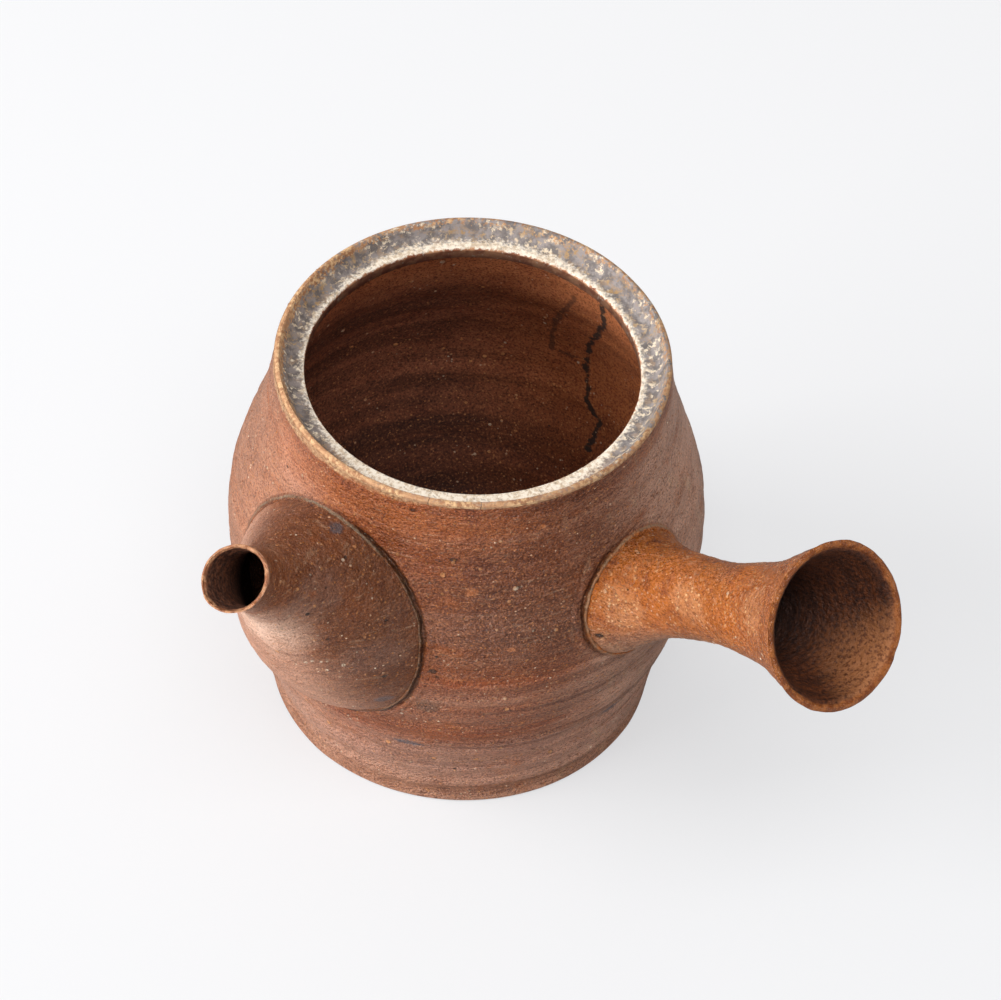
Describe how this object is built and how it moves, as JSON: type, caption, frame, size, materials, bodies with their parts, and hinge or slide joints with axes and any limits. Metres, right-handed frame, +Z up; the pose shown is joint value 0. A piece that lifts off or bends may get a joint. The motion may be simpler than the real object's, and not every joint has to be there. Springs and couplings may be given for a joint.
{
  "type": "kyusu teapot",
  "caption": "Side-handled teapot of unglazed red-brown stoneware, open at the top, with a luted conical spout, a hollow trumpet handle and a pierced strainer dome behind the spout.",
  "frame": {"origin": "centre of the flat underside of the foot, on the surface the teapot stands on", "axes": "+Z up through the opening; -Y towards the viewer, with the spout to the front left and the handle to the front right"},
  "size_m": [0.1338, 0.1252, 0.1034],
  "materials": {
    "pot_clay": "unglazed wood-ash-flashed stoneware, dry satin with sandy relief, grey and cream lid seat",
    "spout_clay": "unglazed stoneware, dry satin, brushed turning marks, pale lip",
    "handle_clay": "unglazed stoneware, slightly glossy orange-brown",
    "strainer_clay": "unglazed stoneware, smooth and matt",
    "luting_clay": "smeared slip, matt grey-brown"
  },
  "bodies": {
    "root": {"pot": "pot_clay", "spout": "spout_clay", "handle": "handle_clay", "strainer": "strainer_clay", "spout_luting": "luting_clay", "handle_luting": "luting_clay", "strainer_luting": "luting_clay"}
  },
  "joints": []
}
